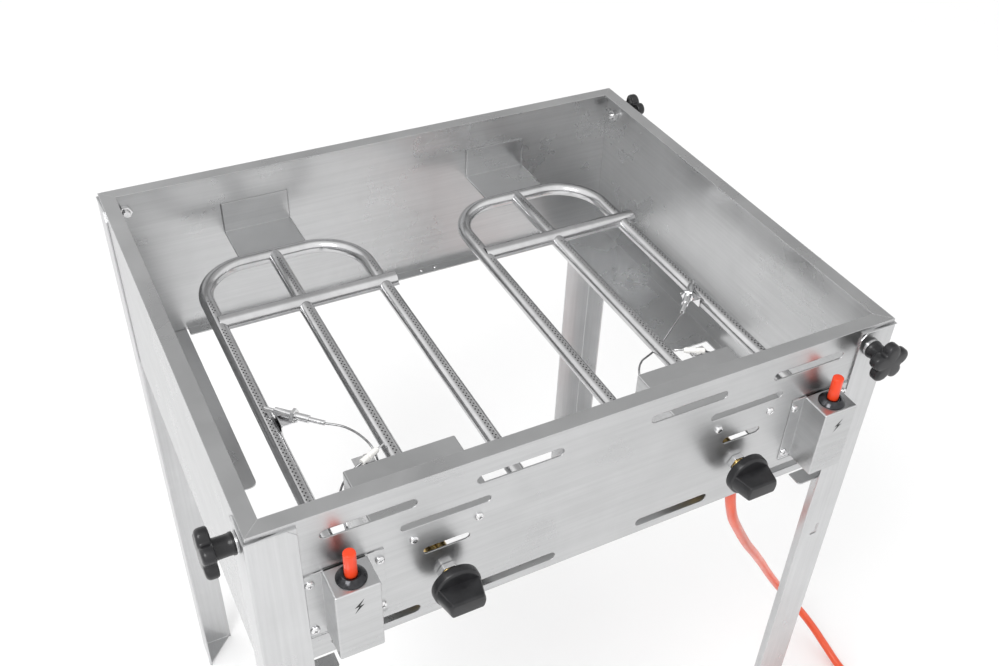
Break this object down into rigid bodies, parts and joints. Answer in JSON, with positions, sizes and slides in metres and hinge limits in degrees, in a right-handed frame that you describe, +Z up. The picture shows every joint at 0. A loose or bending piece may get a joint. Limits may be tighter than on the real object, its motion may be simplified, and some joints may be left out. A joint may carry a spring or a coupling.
{
  "type": "two-burner gas grill stand",
  "caption": "Free-standing gas grill stand: open sheet-metal tray on angle legs with tubular burners, gas valves, push igniters, clamp knobs and a supply hose.",
  "frame": {"origin": "on the floor below the middle of the stand's own box, control and clamp knobs included", "axes": "+Z up; the controls face -Y; +X to the right as seen from the front"},
  "size_m": [0.9131, 0.669, 0.82],
  "materials": {
    "sheet_steel": "satin cold-rolled stainless sheet",
    "leg_steel": "satin stainless angle",
    "burner_tube": "polished stainless tube",
    "bright_metal": "bright plated",
    "brass": "machined brass",
    "knob_plastic": "semi-gloss black",
    "black_plastic": "black",
    "red_plastic": "semi-gloss orange-red",
    "dark_metal": "dark coated",
    "lead_metal": "thin metal-sheathed lead",
    "ceramic": "white glazed ceramic",
    "hose_rubber": "smooth orange hose"
  },
  "bodies": {
    "stand": {"front_panel": "sheet_steel", "back_panel": "sheet_steel", "left_panel": "sheet_steel", "right_panel": "sheet_steel", "leg_front_left": "leg_steel", "leg_front_right": "leg_steel", "leg_back_left": "leg_steel", "leg_back_right": "leg_steel", "corner_bolt": "bright_metal", "corner_washer": "bright_metal", "clamp_nuts": "bright_metal", "burner_loop_left": "burner_tube", "burner_loop_right": "burner_tube", "burner_centre_left": "burner_tube", "burner_centre_right": "burner_tube", "flame_bridge_left": "sheet_steel", "flame_bridge_right": "sheet_steel", "rear_bracket_left": "sheet_steel", "rear_bracket_right": "sheet_steel", "valve_box_left": "sheet_steel", "valve_box_right": "sheet_steel", "valve_body_left": "brass", "valve_body_right": "brass", "valve_nut_left": "bright_metal", "valve_nut_right": "bright_metal", "injectors": "brass", "gas_manifold": "burner_tube", "hose_nozzle": "brass", "igniter_box_left": "sheet_steel", "igniter_box_right": "sheet_steel", "piezo_left": "black_plastic", "piezo_right": "black_plastic", "igniter_collars": "dark_metal", "button_spring_left": "bright_metal", "button_spring_right": "bright_metal", "thermocouple_left": "bright_metal", "thermocouple_right": "bright_metal", "electrode_left": "ceramic", "electrode_right": "ceramic", "leads": "lead_metal", "screws": "bright_metal", "gas_hose": "hose_rubber", "hose_coil": "hose_rubber", "hose_tail": "hose_rubber", "regulator": "dark_metal"},
    "valve_plug_left": {"valve_plug_left": "brass"},
    "valve_knob_left": {"valve_stem_left": "bright_metal", "valve_knob_left": "knob_plastic"},
    "button_left": {"button_left": "red_plastic"},
    "valve_plug_right": {"valve_plug_right": "brass"},
    "valve_knob_right": {"valve_stem_right": "bright_metal", "valve_knob_right": "knob_plastic"},
    "button_right": {"button_right": "red_plastic"},
    "clamp_washer_front_left": {"clamp_washer_front_left": "bright_metal"},
    "clamp_knob_front_left": {"clamp_knob_front_left": "knob_plastic"},
    "clamp_washer_front_right": {"clamp_washer_front_right": "bright_metal"},
    "clamp_knob_front_right": {"clamp_knob_front_right": "knob_plastic"},
    "clamp_washer_back_right": {"clamp_washer_back_right": "bright_metal"},
    "clamp_knob_back_right": {"clamp_knob_back_right": "knob_plastic"}
  },
  "joints": [
    {"name": "valve_turn_left", "type": "hinge", "parent": "stand", "child": "valve_plug_left", "pos_m": [-0.157, -0.2315, 0.696], "axis": [0, -1, 0], "range_deg": [0, 180]},
    {"name": "valve_push_left", "type": "slide", "parent": "valve_plug_left", "child": "valve_knob_left", "axis": [0, 1, 0], "range_m": [0, 0.004], "stiffness_N_per_m": 800, "springref_m": -0.003},
    {"name": "igniter_push_left", "type": "slide", "parent": "stand", "child": "button_left", "axis": [0, 0, -1], "range_m": [0, 0.01], "stiffness_N_per_m": 600, "springref_m": -0.004, "deforming": ["button_spring_left"]},
    {"name": "valve_turn_right", "type": "hinge", "parent": "stand", "child": "valve_plug_right", "pos_m": [0.157, -0.2315, 0.696], "axis": [0, -1, 0], "range_deg": [0, 180]},
    {"name": "valve_push_right", "type": "slide", "parent": "valve_plug_right", "child": "valve_knob_right", "axis": [0, 1, 0], "range_m": [0, 0.004], "stiffness_N_per_m": 800, "springref_m": -0.003},
    {"name": "igniter_push_right", "type": "slide", "parent": "stand", "child": "button_right", "axis": [0, 0, -1], "range_m": [0, 0.01], "stiffness_N_per_m": 600, "springref_m": -0.004, "deforming": ["button_spring_right"]},
    {"name": "clamp_travel_front_left", "type": "slide", "parent": "stand", "child": "clamp_washer_front_left", "axis": [-1, 0, 0], "range_m": [0, 0.0026]},
    {"name": "clamp_turn_front_left", "type": "hinge", "parent": "clamp_washer_front_left", "child": "clamp_knob_front_left", "pos_m": [-0.327, -0.2275, 0.793], "axis": [-1, 0, 0], "range_deg": [0, 720]},
    {"name": "clamp_travel_front_right", "type": "slide", "parent": "stand", "child": "clamp_washer_front_right", "axis": [0, -1, 0], "range_m": [0, 0.0026]},
    {"name": "clamp_turn_front_right", "type": "hinge", "parent": "clamp_washer_front_right", "child": "clamp_knob_front_right", "pos_m": [0.301, -0.2535, 0.793], "axis": [0, -1, 0], "range_deg": [0, 720]},
    {"name": "clamp_travel_back_right", "type": "slide", "parent": "stand", "child": "clamp_washer_back_right", "axis": [1, 0, 0], "range_m": [0, 0.0026]},
    {"name": "clamp_turn_back_right", "type": "hinge", "parent": "clamp_washer_back_right", "child": "clamp_knob_back_right", "pos_m": [0.327, 0.2645, 0.793], "axis": [1, 0, 0], "range_deg": [0, 720]}
  ],
  "couplings": [
    {"joint": "clamp_travel_front_left", "follows": "clamp_turn_front_left", "m_per_rad": 0.00019894},
    {"joint": "clamp_travel_front_right", "follows": "clamp_turn_front_right", "m_per_rad": 0.00019894},
    {"joint": "clamp_travel_back_right", "follows": "clamp_turn_back_right", "m_per_rad": 0.00019894}
  ]
}
